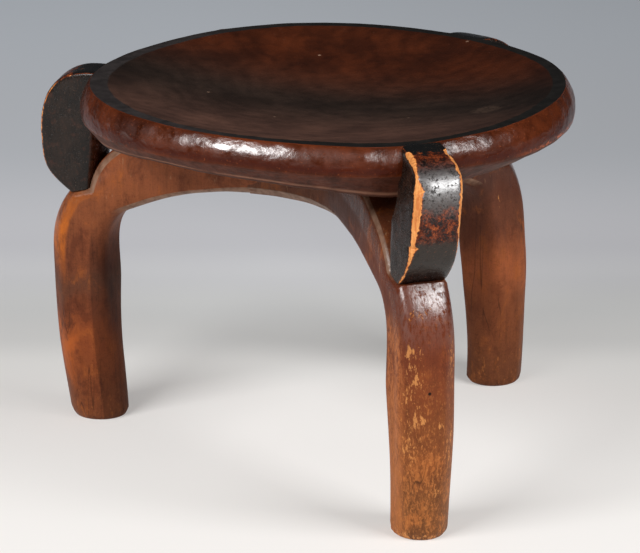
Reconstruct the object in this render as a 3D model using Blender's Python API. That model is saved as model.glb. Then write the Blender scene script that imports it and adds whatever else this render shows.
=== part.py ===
"""Low three-legged stool carved in dark hardwood.

A round dished seat with a flat band and a ridged rim rests on a hub from which three arms
run out, bend at the knee and go down as posts to round feet. A flat D-shaped lug joins the
rim to the shoulder of each leg and leaves a finger gap behind it.
Metres, +Z up, the soles on Z = 0.
"""
import math

import bmesh
import bpy
from mathutils import Matrix, Vector
from mathutils.geometry import interpolate_bezier

# Seat
SEAT_HEIGHT = 0.221  # floor to the flat band
BAND_RADIUS = 0.135  # outer edge of the flat band
BAND_WIDTH = 0.0085
DISH_DEPTH = 0.015
SEAT_THICKNESS = 0.0255  # at the middle of the dish
RIDGE_STANDOUT = 0.0055  # ridge of the rim, out past the band's edge
RIDGE_DROP = 0.0155  # band down to the ridge
RIM_DEPTH = 0.0255  # band down to the rim's lower edge
LOWER_EDGE_INSET = 0.0035  # lower edge, in from the band's edge

# Hub under the seat
HUB_RADIUS = 0.046  # axis to the face where an arm starts
HUB_DEPTH = 0.0295  # underside of the seat's middle down to the hub's underside

# Legs, in the upright plane through the seat's axis; a spread is measured out past the band's edge
LEG_BEARINGS = {"front": 270.0, "right": 30.0, "left": 144.5}  # degrees about the seat's axis
FOOT_SPREAD = 0.012  # middle of the foot
FOOT_DEPTH = 0.0325  # along the plane
FOOT_WIDTH = 0.0300  # across the plane
FOOT_ASIDES = {"front": 0.003, "right": -0.006, "left": -0.004}  # middle of the foot, aside of the plane
SOLE_CHAMFER = 0.002
KNEE_HEIGHT = 0.085
KNEE_SPREADS = {"front": 0.037, "right": 0.0285, "left": 0.0365}  # outer face of the knee
KNEE_DEPTH = 0.0345
KNEE_WIDTH = 0.0335
KNEE_OUTER_CHAMFER = 0.009
KNEE_INNER_CHAMFER = 0.0035
SPRING_INSET = 0.0155  # spring of the arch, in from the knee's inner face
ARCH_RISE = 0.016  # spring of the arch up to the hub's underside
ARM_WIDTH = 0.028
ARM_CHAMFER = 0.005  # along the arch, from the spring to the hub and round it
CREST_INSETS = {"front": 0.033, "right": 0.026, "left": 0.021}  # top of the arm's back, in from the band's edge
CREST_DROPS = {"front": 0.0385, "right": 0.040, "left": 0.0405}  # band down to that top
LEDGE_SPREAD = 0.011  # inner end of the ledge that carries the lug
LEDGE_DROPS = {"front": 0.0710, "right": 0.0735, "left": 0.0745}  # band down to the ledge's inner end
LEDGE_LENGTH = 0.013
LEDGE_FALL = 0.0035  # the ledge slopes down outwards
LEDGE_WIDTH = 0.0305
LEDGE_CHAMFER = 0.0025

# Lugs
LUG_REACHES = {"front": 0.0403, "right": 0.0395, "left": 0.0387}  # widest point, out past the band's edge
LUG_WIDEST_DROP = 0.042  # band down to the widest point
LUG_THICKNESS = 0.026
LUG_LEANS = {"front": 0.004, "right": 0.0095, "left": 0.0095}  # lug's top, aside of its foot
LUG_STANDOFF = 0.0085  # inner face where it turns in to the rim, out past the band's edge
LUG_TURN_DROP = 0.041  # band down to that turn
LUG_TOE_SETBACK = 0.002  # lug's foot, in from the ledge's outer end
LUG_EDGE_CHAMFER = 0.0012

# Fits
SEAM = 0.0003  # gap that neighbouring pieces keep
WELD_DISTANCE = 0.000001  # points of a turned piece nearer than this are one

# Smoothness of the curved stretches
TURN_STEPS = 72
DISH_STEPS = 9
RIM_STEPS = 6
UNDERSIDE_STEPS = 7
SECTION_STEPS = 32
EDGE_CRISPNESS = 16  # of the chamfered leg sections: more gives sharper edges
POST_STEPS = 6
BEND_STEPS = 6
ARCH_STEPS = 8
BACK_STEPS = 5  # of the arch's steps, those beside the open back of the arm
LUG_STEPS = 8
HUB_STEPS = 8
CURVE_PULL = 0.4  # handle length of a curve, as a share of the way between its ends
SHARP_ANGLE = math.radians(35.0)

UP = Vector((0.0, 1.0))
DOWN = Vector((0.0, -1.0))
INWARD = Vector((-1.0, 0.0))
FOOT_INNER_LEAN = Vector((0.03, 1.0))
FOOT_OUTER_LEAN = Vector((0.16, 1.0))
ARCH_LEAN = Vector((-1.0, 0.42))
SHOULDER_LEAN = Vector((-0.6, 0.8))
BACK_LEANS = {"front": Vector((-0.45, 0.89)), "right": Vector((-0.3, 0.95)), "left": Vector((-0.18, 0.98))}
CREST_LEAN = Vector((-0.89, 0.45))
RIM_TOP_LEAN = Vector((0.6, -0.8))
LUG_TOP_LEAN = Vector((1.0, -0.08))
LUG_TOE_LEAN = Vector((-0.8, -0.6))

# Finish: colours as linear light, and the roughness that all the worn wood shares
WORN_GLOSS = 0.45
RIM_BROWN = (0.100, 0.036, 0.017)
ARM_BROWN = (0.070, 0.027, 0.014)
POST_BROWN = (0.230, 0.082, 0.030)
CHARRED = (0.030, 0.021, 0.016)


def seat_underside():
    """Height of the underside at the seat's axis."""
    return SEAT_HEIGHT - DISH_DEPTH - SEAT_THICKNESS


def hub_underside():
    return seat_underside() - HUB_DEPTH


def curve(start, start_lean, end, end_lean, steps):
    """Points of a smooth curve from start to end that leaves and arrives along the leans."""
    pull = (end - start).length * CURVE_PULL
    first_handle = start + start_lean.normalized() * pull
    last_handle = end - end_lean.normalized() * pull
    return interpolate_bezier(start, first_handle, last_handle, end, steps + 1)


def wood(name, colour):
    material = bpy.data.materials.new(name)
    material.use_nodes = True
    shader = material.node_tree.nodes["Principled BSDF"]
    shader.inputs["Base Color"].default_value = (*colour, 1.0)
    shader.inputs["Roughness"].default_value = WORN_GLOSS
    material.diffuse_color = (*colour, 1.0)
    return material


def add_object(name, builder, parent):
    """Turn a finished bmesh into a smooth-shaded object that hangs from the parent."""
    bmesh.ops.recalc_face_normals(builder, faces=builder.faces[:])
    mesh = bpy.data.meshes.new(name)
    builder.to_mesh(mesh)
    builder.free()
    mesh.shade_smooth()
    mesh.set_sharp_from_angle(angle=SHARP_ANGLE)
    piece = bpy.data.objects.new(name, mesh)
    piece.parent = parent
    bpy.context.scene.collection.objects.link(piece)
    return piece


def raise_face(builder, face, way):
    """Make a flat face into a solid by carrying a copy of it the given way."""
    raised = bmesh.ops.extrude_face_region(builder, geom=[face], use_keep_orig=True)["geom"]
    corners = [item for item in raised if isinstance(item, bmesh.types.BMVert)]
    bmesh.ops.translate(builder, verts=corners, vec=way)


def chamfer(builder, edges, size, measure):
    bmesh.ops.bevel(builder, geom=edges, offset=size, offset_type=measure, segments=1, affect="EDGES")


def cut_with(piece, cutter):
    cut = piece.modifiers.new("clear_of_" + cutter.name, "BOOLEAN")
    cut.operation = "DIFFERENCE"
    cut.solver = "EXACT"
    cut.object = cutter


def rim_outline(clearance):
    """Seat profile from the band's edge down the rim and in to the axis, grown by a clearance."""
    band = Vector((BAND_RADIUS + clearance, SEAT_HEIGHT))
    ridge = band + Vector((RIDGE_STANDOUT, -RIDGE_DROP))
    edge = band + Vector((-LOWER_EDGE_INSET, -RIM_DEPTH - clearance))
    middle = seat_underside() - clearance
    outline = curve(band, RIM_TOP_LEAN, ridge, DOWN, RIM_STEPS) + [edge]
    for step in range(1, UNDERSIDE_STEPS + 1):
        share = 1.0 - step / UNDERSIDE_STEPS
        outline.append(Vector((edge.x * share, middle + (edge.y - middle) * share ** 2)))
    return outline


def dish_outline():
    """Seat profile from the axis up the dish to the inner edge of the band."""
    dish_radius = BAND_RADIUS - BAND_WIDTH
    outline = []
    for step in range(DISH_STEPS + 1):
        share = step / DISH_STEPS
        depth = DISH_DEPTH * (1.0 - share ** 2)
        outline.append(Vector((dish_radius * share, SEAT_HEIGHT - depth)))
    return outline


def turned(outline):
    """Spin a profile of (radius, height) points that starts and ends on the axis."""
    builder = bmesh.new()
    points = [builder.verts.new((point.x, 0.0, point.y)) for point in outline]
    edges = [builder.edges.new(pair) for pair in zip(points, points[1:])]
    bmesh.ops.spin(
        builder,
        geom=points + edges,
        axis=(0.0, 0.0, 1.0),
        cent=(0.0, 0.0, 0.0),
        angle=math.tau,
        steps=TURN_STEPS,
        use_merge=True,
    )
    bmesh.ops.remove_doubles(builder, verts=builder.verts[:], dist=WELD_DISTANCE)
    return builder


def build_seat(parent):
    return add_object("seat", turned(dish_outline() + rim_outline(0.0)), parent)


def build_seat_cutter(parent):
    """Space that the seat takes from the pieces below and beside it, open to the top."""
    over_seat = SEAT_HEIGHT + RIM_DEPTH
    outline = [Vector((0.0, over_seat)), Vector((BAND_RADIUS + SEAM, over_seat))]
    cutter = add_object("seat_cutter", turned(outline + rim_outline(SEAM)), parent)
    cutter.hide_render = True
    cutter.display_type = "WIRE"
    return cutter


def hub_plan():
    """Outline of the hub from above: flat faces for the arms, joined by concave flanks."""
    bearings = sorted(math.radians(bearing) for bearing in LEG_BEARINGS.values())
    half_width = ARM_WIDTH / 2.0
    outline = []
    for index, bearing in enumerate(bearings):
        following = bearings[(index + 1) % len(bearings)]
        out = Vector((math.cos(bearing), math.sin(bearing)))
        side = Vector((-out.y, out.x))
        next_out = Vector((math.cos(following), math.sin(following)))
        next_side = Vector((-next_out.y, next_out.x))
        start = out * HUB_RADIUS + side * half_width
        end = next_out * HUB_RADIUS - next_side * half_width
        outline.append(out * HUB_RADIUS - side * half_width)
        outline += curve(start, -out, end, next_out, HUB_STEPS)[:-1]
    return outline


def build_hub(parent, seat_cutter):
    builder = bmesh.new()
    underside = [builder.verts.new((point.x, point.y, hub_underside())) for point in hub_plan()]
    bottom = builder.faces.new(underside)
    arm_faces = [set(underside[first:first + 2]) for first in range(0, len(underside), HUB_STEPS + 1)]
    flanks = [edge for edge in bottom.edges if set(edge.verts) not in arm_faces]
    raise_face(builder, bottom, Vector((0.0, 0.0, HUB_DEPTH + SEAT_THICKNESS / 2.0)))
    chamfer(builder, flanks, ARM_CHAMFER, "WIDTH")
    hub = add_object("hub", builder, parent)
    cut_with(hub, seat_cutter)
    return hub


def leg_outlines(side):
    """Inner and outer outline of a leg, sole to hub, with matching points."""
    foot_middle = BAND_RADIUS + FOOT_SPREAD
    foot_inner = Vector((foot_middle - FOOT_DEPTH / 2.0, SOLE_CHAMFER))
    foot_outer = Vector((foot_middle + FOOT_DEPTH / 2.0, SOLE_CHAMFER))
    knee_outer = Vector((BAND_RADIUS + KNEE_SPREADS[side], KNEE_HEIGHT))
    knee_inner = knee_outer - Vector((KNEE_DEPTH, 0.0))
    spring = Vector((knee_inner.x - SPRING_INSET, hub_underside() - ARCH_RISE))
    arm_start = HUB_RADIUS + SEAM
    hub_low = Vector((arm_start, hub_underside()))
    hub_high = Vector((arm_start, seat_underside() + SEAT_THICKNESS / 2.0))
    ledge_inner, ledge_outer = ledge_ends(side)
    crest = Vector((BAND_RADIUS - CREST_INSETS[side], SEAT_HEIGHT - CREST_DROPS[side]))

    inner = curve(foot_inner, FOOT_INNER_LEAN, knee_inner, UP, POST_STEPS)
    inner += curve(knee_inner, UP, spring, ARCH_LEAN, BEND_STEPS)[1:]
    inner += curve(spring, ARCH_LEAN, hub_low, INWARD, ARCH_STEPS)[1:]
    outer = curve(foot_outer, FOOT_OUTER_LEAN, knee_outer, UP, POST_STEPS)
    outer += curve(knee_outer, UP, ledge_outer, SHOULDER_LEAN, BEND_STEPS - 1)[1:]
    outer += curve(ledge_inner, BACK_LEANS[side], crest, CREST_LEAN, BACK_STEPS)
    buried_steps = ARCH_STEPS - BACK_STEPS
    outer += [crest.lerp(hub_high, step / buried_steps) for step in range(1, buried_steps + 1)]
    return inner, outer


def ledge_ends(side):
    """Inner and outer end of the ledge on a leg's shoulder, where the lug stands."""
    inner = Vector((BAND_RADIUS + LEDGE_SPREAD, SEAT_HEIGHT - LEDGE_DROPS[side]))
    return inner, inner + Vector((LEDGE_LENGTH, -LEDGE_FALL))


def eased(low, high, share):
    """Value that leaves low and reaches high gently."""
    return low + (high - low) * share * share * (3.0 - 2.0 * share)


def section_shape(ring):
    """Half width, inner and outer chamfer of a leg's section at a ring of its loft."""
    round_chamfer = (2.0 - math.sqrt(2.0)) * FOOT_WIDTH / 2.0
    foot = (FOOT_WIDTH / 2.0, round_chamfer, round_chamfer)
    knee = (KNEE_WIDTH / 2.0, KNEE_INNER_CHAMFER, KNEE_OUTER_CHAMFER)
    ledge = (LEDGE_WIDTH / 2.0, ARM_CHAMFER, LEDGE_CHAMFER)
    hub = (ARM_WIDTH / 2.0, ARM_CHAMFER, LEDGE_CHAMFER)
    if ring <= POST_STEPS:
        below, above, share = foot, knee, ring / POST_STEPS
    elif ring <= POST_STEPS + BEND_STEPS:
        below, above, share = knee, ledge, (ring - POST_STEPS) / BEND_STEPS
    else:
        below, above, share = ledge, hub, (ring - POST_STEPS - BEND_STEPS) / ARCH_STEPS
    return [eased(low, high, share) for low, high in zip(below, above)]


def section_radius(angle, half_depth, half_width, inner_chamfer, outer_chamfer):
    """Distance from the middle of a chamfered rectangle to its softened outline."""
    out = math.cos(angle)
    across = abs(math.sin(angle))
    chamfer = outer_chamfer if out >= 0.0 else inner_chamfer
    faces = (
        abs(out) / half_depth,
        across / half_width,
        (abs(out) + across) / (half_depth + half_width - chamfer),
    )
    return sum(face ** EDGE_CRISPNESS for face in faces) ** (-1.0 / EDGE_CRISPNESS)


def section_ring(inner, outer, aside, shape):
    """Closed ring of points between an inner and an outer point of the leg's plane, moved aside."""
    middle = (inner + outer) / 2.0
    reach = (outer - inner) / 2.0
    ring = []
    for step in range(SECTION_STEPS):
        angle = math.tau * step / SECTION_STEPS
        radius = section_radius(angle, reach.length, *shape)
        point = middle + reach.normalized() * radius * math.cos(angle)
        ring.append((point.x, aside + radius * math.sin(angle), point.y))
    return ring


def leg_rings(side):
    """Rings of the leg's loft, from the chamfered sole up to the face at the hub."""
    inner, outer = leg_outlines(side)
    foot_aside = FOOT_ASIDES[side]
    half_width, *chamfers = section_shape(0)
    sole_inner = Vector((inner[0].x + SOLE_CHAMFER, 0.0))
    sole_outer = Vector((outer[0].x - SOLE_CHAMFER, 0.0))
    rings = [section_ring(sole_inner, sole_outer, foot_aside, (half_width - SOLE_CHAMFER, *chamfers))]
    for index, ends in enumerate(zip(inner, outer)):
        aside = foot_aside * max(0.0, 1.0 - index / (POST_STEPS + BEND_STEPS))
        rings.append(section_ring(*ends, aside, section_shape(index)))
    return rings


def build_leg(side, parent, seat_cutter):
    builder = bmesh.new()
    loops = [[builder.verts.new(point) for point in ring] for ring in leg_rings(side)]
    for lower, upper in zip(loops, loops[1:]):
        for index in range(SECTION_STEPS):
            following = (index + 1) % SECTION_STEPS
            builder.faces.new((lower[index], lower[following], upper[following], upper[index]))
    builder.faces.new(loops[0])
    builder.faces.new(loops[-1])
    leg = add_object("leg_" + side, builder, parent)
    leg.rotation_euler.z = math.radians(LEG_BEARINGS[side])
    cut_with(leg, seat_cutter)
    return leg


def lug_outline(side):
    """Outline of a lug in the leg's plane: round outside, nearly upright inside."""
    ledge_inner, ledge_outer = ledge_ends(side)
    slope = (ledge_outer - ledge_inner).normalized()
    lift = Vector((-slope.y, slope.x)) * SEAM
    heel = ledge_inner + lift
    toe = ledge_outer - slope * LUG_TOE_SETBACK + lift
    widest = Vector((BAND_RADIUS + LUG_REACHES[side], SEAT_HEIGHT - LUG_WIDEST_DROP))
    top = Vector((BAND_RADIUS, SEAT_HEIGHT))
    turn = Vector((BAND_RADIUS + LUG_STANDOFF, SEAT_HEIGHT - LUG_TURN_DROP))
    under_rim = Vector((BAND_RADIUS - BAND_WIDTH, SEAT_HEIGHT - RIM_DEPTH + LOWER_EDGE_INSET))
    in_seat = Vector((under_rim.x, SEAT_HEIGHT))

    outline = [in_seat]
    outline += curve(top, LUG_TOP_LEAN, widest, DOWN, LUG_STEPS)
    outline += curve(widest, DOWN, toe, LUG_TOE_LEAN, LUG_STEPS)[1:]
    outline.append(heel)
    outline += curve(turn, UP, under_rim, INWARD, LUG_STEPS // 2)
    return outline


def build_lug(side, parent, seat_cutter):
    builder = bmesh.new()
    near = -LUG_THICKNESS / 2.0
    corners = [builder.verts.new((point.x, near, point.y)) for point in lug_outline(side)]
    face = builder.faces.new(corners)
    raise_face(builder, face, Vector((0.0, LUG_THICKNESS, 0.0)))
    flat_sides = [flat for flat in builder.faces if len(flat.verts) == len(corners)]
    chamfer(builder, [edge for flat in flat_sides for edge in flat.edges], LUG_EDGE_CHAMFER, "OFFSET")
    foot_height = ledge_ends(side)[0].y
    for corner in builder.verts:
        corner.co.y += LUG_LEANS[side] * (corner.co.z - foot_height) / (SEAT_HEIGHT - foot_height)
    lug = add_object("lug_" + side, builder, parent)
    lug.rotation_euler.z = math.radians(LEG_BEARINGS[side])
    cut_with(lug, seat_cutter)
    return lug


def centre_over_origin(frame, pieces):
    """Move the frame so that the box round the pieces is centred on the origin."""
    corners = []
    for piece in pieces:
        turn = Matrix.Rotation(piece.rotation_euler.z, 4, "Z")
        corners += [turn @ vertex.co for vertex in piece.data.vertices]
    for axis in (0, 1):
        low = min(corner[axis] for corner in corners)
        high = max(corner[axis] for corner in corners)
        frame.location[axis] = -(low + high) / 2.0


def main():
    for leftover in list(bpy.data.objects):
        bpy.data.objects.remove(leftover, do_unlink=True)
    stool = bpy.data.objects.new("stool", None)
    bpy.context.scene.collection.objects.link(stool)

    seat_cutter = build_seat_cutter(stool)
    colours = {build_seat(stool): RIM_BROWN, build_hub(stool, seat_cutter): ARM_BROWN}
    for side in LEG_BEARINGS:
        colours[build_leg(side, stool, seat_cutter)] = POST_BROWN
        colours[build_lug(side, stool, seat_cutter)] = CHARRED
    for piece, colour in colours.items():
        piece.data.materials.append(wood(piece.name + "_wood", colour))
    centre_over_origin(stool, colours)


main()
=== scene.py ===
"""Dressed model of a low three-legged stool, carved from one block of dark hardwood.

The turned seat, the hub, the bowed legs and the D-shaped lugs stand in for the plain solids.
Knife cuts, chipped edges and worn soles are in their meshes. The finishes read the block's own
grain, which runs upright through all the pieces, and the wear that each mesh carries.
Metres, +Z up, the soles on Z = 0. Tones are given in display steps of 0 to 255.
"""
import math

import bmesh
import bpy
import numpy as np
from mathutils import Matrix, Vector


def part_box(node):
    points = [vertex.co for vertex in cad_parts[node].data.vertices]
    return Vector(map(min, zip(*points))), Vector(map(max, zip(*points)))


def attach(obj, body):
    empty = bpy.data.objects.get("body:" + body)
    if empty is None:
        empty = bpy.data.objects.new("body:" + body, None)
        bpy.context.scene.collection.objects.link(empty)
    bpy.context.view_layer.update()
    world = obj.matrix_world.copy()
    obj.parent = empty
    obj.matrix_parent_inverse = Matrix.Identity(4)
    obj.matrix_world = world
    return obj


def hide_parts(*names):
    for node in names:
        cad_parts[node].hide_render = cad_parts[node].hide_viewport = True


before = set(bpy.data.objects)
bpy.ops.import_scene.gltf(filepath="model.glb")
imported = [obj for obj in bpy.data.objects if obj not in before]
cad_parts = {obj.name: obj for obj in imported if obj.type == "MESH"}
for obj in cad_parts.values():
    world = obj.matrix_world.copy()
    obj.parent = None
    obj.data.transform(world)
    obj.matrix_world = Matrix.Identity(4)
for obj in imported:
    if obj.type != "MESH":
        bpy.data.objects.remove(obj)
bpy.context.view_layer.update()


def by_side(front, right, left, **others):
    """One value for each leg or lug, in this order."""
    return {"front": front, "right": right, "left": left, **others}


# Seat
SEAT_LOW, SEAT_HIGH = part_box("seat")
AXIS = np.array([(SEAT_LOW.x + SEAT_HIGH.x) / 2.0, (SEAT_LOW.y + SEAT_HIGH.y) / 2.0, 0.0])
SEAT_HEIGHT = SEAT_HIGH.z
BAND_RADIUS = 0.135
BAND_WIDTH = 0.0085
DISH_DEPTH = 0.015
SEAT_THICKNESS = 0.0255
RIDGE_STANDOUT = 0.0053
RIDGE_DROP = 0.0155
RIM_DEPTH = 0.0258
LOWER_EDGE_INSET = 0.0035
BULGE_LEANS = ((0.68, -0.73), (-0.24, -0.97))  # of the upper rim at the band's edge and at the ridge
SEAT_STEPS_AROUND = 760
SEAT_STEPS = (36, 8, 26, 16, 28)  # over the dish, band, upper rim, chamfer and underside
# Depth of the knife's cuts at the start and end of each of these
SEAT_CUT_SHARES = ((0.25, 0.25), (0.15, 0.15), (1.0, 0.35), (0.35, 0.3), (0.6, 0.6))

# Unevenness of the hand-carved rim round the seat: bearing in degrees, and metres off the turned shape
BAND_RISES = (
    (0, 0.0004), (15, -0.0010), (45, -0.0009), (80, 0.0003), (100, 0.0001), (118, -0.0012), (140, -0.0013),
    (165, -0.0004), (185, 0.0005), (200, 0.0015), (215, 0.0019), (235, 0.0015), (250, 0.0002), (262, -0.0019),
    (270, -0.0022), (280, -0.0013), (295, -0.0004), (320, 0.0008), (340, 0.0010),
)
RIDGE_RISES = (
    (0, 0.0005), (30, -0.0015), (87, 0.0015), (120, 0.0), (144, -0.0035), (165, -0.0040), (180, -0.0025),
    (206, 0.0), (224, 0.0020), (239, 0.0015), (249, -0.0005), (265, -0.0025), (270, -0.0027), (280, -0.0010),
    (286, -0.0015), (293, -0.0022), (302, -0.0034), (314, -0.0032), (328, -0.0020), (345, -0.0003),
)
# Rise of the rim's lower edge beyond what its ridge and chamfer give it
EDGE_RISES = (
    (250, 0.0), (272, 0.0), (280, 0.0024), (286, 0.0037), (293, 0.0041), (302, 0.0048), (314, 0.0040),
    (328, 0.0020), (345, 0.0),
)
BAND_WIDTHS = (
    (10, 0.0080), (90, 0.0080), (144, 0.0095), (180, 0.0100), (205, 0.0065), (235, 0.0055), (250, 0.0070),
    (262, 0.0075), (285, 0.0050), (295, 0.0065), (320, 0.0074), (350, 0.0075),
)
RIM_SPREADS = ((115, 0.0), (140, 0.0022), (158, 0.0033), (176, 0.0022), (200, 0.0))
UNEVEN_REACH = 0.045  # how far in over the dish and the underside the unevenness fades out
# Size of the chamfer under the ridge, by degrees aside of the nearest lug, and what a unit of it moves the edge
CHAMFER_SHARES = (
    (-60, 0.52), (-45, 0.78), (-30, 0.90), (-20, 1.0), (-5, 1.42), (0, 1.5), (14, 1.4), (26, 1.16), (41, 0.8),
    (60, 0.52),
)
CHAMFER_DROP = 0.0100
CHAMFER_INSET = 0.0075

# Hub and legs; a spread is measured out past the band's edge
BEARINGS = by_side(270.0, 30.0, 144.5)
HUB_RADIUS = 0.046
HUB_DEPTH = 0.0295
HUB_NARROWING = 0.0006  # how much narrower its faces are than the arms
HUB_LIFT = 0.0003
HUB_OVERLAP = 0.004
HUB_FLANK_STEPS = 60
HUB_CHAMFER_RINGS = 7
HUB_WALL_RINGS = 30
FOOT_SPREAD = 0.012
FOOT_DEPTH = 0.0345
FOOT_WIDTHS = by_side(0.0314, 0.0330, 0.0325)
FOOT_LEANS = ((0.03, 1.0), (0.16, 1.0))  # of the post's inner and outer outline at the sole
# How far aside of its plane a leg's middle stands, by height
ASIDES = by_side(
    front=((0.0, 0.003), (0.085, 0.0008), (0.15, 0.0)),
    right=((0.0, -0.0065), (0.04, -0.0066), (0.075, -0.0074), (0.105, -0.0036), (0.13, 0.0), (0.16, 0.0)),
    left=((0.0, -0.004), (0.15, 0.0)),
)
KNEE_HEIGHT = 0.085
KNEE_SPREADS = by_side(0.037, 0.0285, 0.0365)
KNEE_DEPTHS = by_side(0.0345, 0.0350, 0.0362)
KNEE_WIDTH = 0.0335
KNEE_OUTER_CHAMFERS = by_side(0.009, 0.006, 0.009)
KNEE_INNER_CHAMFER = 0.0035
KNEE_SQUARENESS = 0.85  # from 0 for an oval section to 1 for a chamfered one
SHOULDER_LEAN = (-0.6, 0.8)
SPRING_INSET = 0.0155
SPRING_LEAN = (-1.0, 0.42)
ARCH_RISE = 0.016
ARM_WIDTH = 0.028
ARM_CHAMFER = 0.005
ARM_OVERLAP = 0.010
# Where an arm's back meets the seat: in from the band's edge and down from its height, and how the back leans
CREST_INSETS = by_side(0.0330, 0.0260, 0.0210)
CREST_DROPS = by_side(0.0385, 0.0400, 0.0405)
BACK_LEANS = by_side((-0.45, 0.89), (-0.3, 0.95), (-0.18, 0.98))
CREST_LEAN = (-0.89, 0.45)
LEDGE_SPREADS = by_side(0.0080, 0.0100, 0.0110)
LEDGE_DROPS = by_side(0.0693, 0.0735, 0.0745)
LEDGE_LENGTHS = by_side(0.0160, 0.0130, 0.0130)
LEDGE_FALL = 0.0035
LEDGE_WIDTH = 0.0305
LEDGE_CHAMFERS = by_side(0.0025, 0.0105, 0.0045)
SOLE_WEAR = 0.0017  # how far the sole's edge is worn in
SOLE_WEAR_HEIGHT = 0.0010
SOLE_CHIP_HEIGHT = 0.0055
SOLE_CHIP_WAVES = 34
UNCUT_HEIGHT = 0.006  # the knife's cuts fade out below this
LEG_STEPS_AROUND = 160
# Steps up the post and the shoulder, over the ledge, along the arm's back and inside the seat
LEG_STEPS = (110, 60, 12, 50, 26)

# Lugs
LUG_REACHES = by_side(0.0403, 0.0395, 0.0392)
LUG_WIDEST_DROPS = by_side(0.040, 0.043, 0.0445)
LUG_THICKNESSES = by_side(0.0282, 0.0260, 0.0252)
LUG_TOP_SHARES = by_side(0.85, 1.0, 1.0)  # thickness at the top against the rest
LUG_LEANS = by_side(0.0068, 0.0095, 0.0095)  # how far aside the top leans
LUG_BENDS = by_side(2.0, 1.0, 1.0)  # more than 1 puts the lean nearer the top
GAP_TAPERS = by_side(0.0, 0.0, 0.0046)  # how much the finger gap narrows to its far mouth
UPPER_FULLNESS = by_side(0.58, 0.46, 0.455)  # of the D above where it is widest
LOWER_FULLNESS = by_side(0.37, 0.42, 0.49)  # of the D below there
LUG_TOP_SLOPES = by_side(-0.08, -0.08, 0.02)
FAR_EDGE_LIFTS = by_side(0.0, 0.0, 0.0028)  # how far the outer face leans out to its far edge
LUG_STANDOFFS = by_side(0.0040, 0.0060, 0.0064)
LUG_TURN_DROP = 0.041
LUG_FLAT_LENGTH = 0.0030  # of the top's flat, which lies over the band
LUG_TOP_LIFT = 0.0001
LUG_TOP_ASIDE = 4.0  # degrees aside of its bearing at which the top takes the rim's spread
LUG_WIDENING = 0.45  # share of the way down at which the lug has its full thickness
TOE_INSET = 0.15  # share of the ledge that stands out past the toe
TOE_LEAN = (-0.8, -0.6)
LUG_INNER_CHAMFER = 0.0008
LUG_STEPS_AROUND = 224
# Steps over the top's flat, down to where the lug is widest, and on to the toe
LUG_STEPS = (4, 70, 60)

# Chips along the lugs' outer edges: share of the way from the top to the toe, and width
NEAR_CHIPS = by_side(
    front=((0.0, 0.0004), (0.10, 0.0004), (0.115, 0.0033), (0.20, 0.0036), (0.24, 0.0033), (0.285, 0.0022),
           (0.317, 0.0018), (0.348, 0.0017), (0.37, 0.0026), (0.39, 0.0034), (0.414, 0.0052), (0.437, 0.0051),
           (0.466, 0.0044), (0.56, 0.0045), (0.61, 0.0036), (0.655, 0.0023), (0.68, 0.0020), (0.697, 0.0028),
           (0.714, 0.0050), (0.726, 0.0039), (0.738, 0.0027), (0.782, 0.0020), (0.835, 0.0014),
           (0.915, 0.0013), (0.975, 0.0008), (1.0, 0.0006)),
    right=((0.0, 0.0004), (0.25, 0.0004), (0.5, 0.0011), (1.0, 0.0006)),
    left=((0.0, 0.0004), (0.5, 0.0008), (1.0, 0.0005)),
)
FAR_CHIPS = by_side(
    front=((0.0, 0.0004), (0.10, 0.0006), (0.13, 0.0034), (0.20, 0.0042), (0.27, 0.0032), (0.40, 0.0028),
           (0.55, 0.0027), (0.64, 0.0020), (0.72, 0.0010), (1.0, 0.0005)),
    right=((0.0, 0.0004), (0.25, 0.0004), (0.5, 0.0009), (1.0, 0.0006)),
    left=((0.0, 0.0004), (0.2, 0.0006), (0.35, 0.0013), (0.7, 0.0012), (1.0, 0.0005)),
)
CHIP_RAGGEDNESS = 0.30
CHIP_WAVES = 60
FAR_SEED, NEAR_SEED = 11, 12

OVERLAP = 0.0004  # a piece runs this far into its neighbour, so that no seam shows
CURVE_PULL = 0.4
EDGE_CRISPNESS = 18
SHARP_ANGLE = math.radians(38.0)

# The knife's cuts and the hand's wobble on each kind of piece
SEAT_CUTS = dict(cut_size=(0.0125, 0.0125, 0.0085), cut_depth=0.0010, wobble_size=0.05, wobble_depth=0.0008, seed=3.0)
LEG_CUTS = dict(cut_size=(0.013, 0.013, 0.040), cut_depth=0.00035, wobble_size=0.06, wobble_depth=0.0006, seed=5.0)
LUG_CUTS = dict(cut_size=(0.012, 0.012, 0.012), cut_depth=0.00035, wobble_size=0.06, wobble_depth=0.0006, seed=8.0)

# Spots worn towards bare wood: offset of the middle from the seat's axis, half width, half height and strength
BARE_SPOTS = by_side(
    front=(
        ((-0.0110, -0.1682, 0.1126), 0.0034, 0.0060, 0.85), ((-0.0081, -0.1704, 0.1022), 0.0028, 0.0085, 0.8),
        ((-0.0065, -0.1701, 0.0746), 0.0060, 0.0080, 0.9), ((-0.0115, -0.1660, 0.0870), 0.0040, 0.0100, 0.7),
        ((0.0062, -0.1715, 0.0701), 0.0022, 0.0045, 0.9), ((0.0052, -0.1677, 0.0301), 0.0034, 0.0060, 0.8),
        ((-0.0060, -0.1660, 0.1330), 0.0110, 0.0080, 0.45), ((-0.0085, -0.1700, 0.0950), 0.0085, 0.0330, 0.55),
        ((-0.0100, -0.1670, 0.0620), 0.0080, 0.0200, 0.6), ((0.0125, -0.1680, 0.1000), 0.0050, 0.0280, 0.65),
        ((0.0120, -0.1670, 0.0540), 0.0050, 0.0180, 0.7), ((-0.0030, -0.1580, 0.0), 0.0300, 0.0090, 0.75),
    ),
    right=(((0.1401, 0.0574, 0.0472), 0.0040, 0.0100, 0.7), ((0.1274, 0.0539, 0.1208), 0.0030, 0.0060, 0.6)),
    left=(),
)

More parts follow.
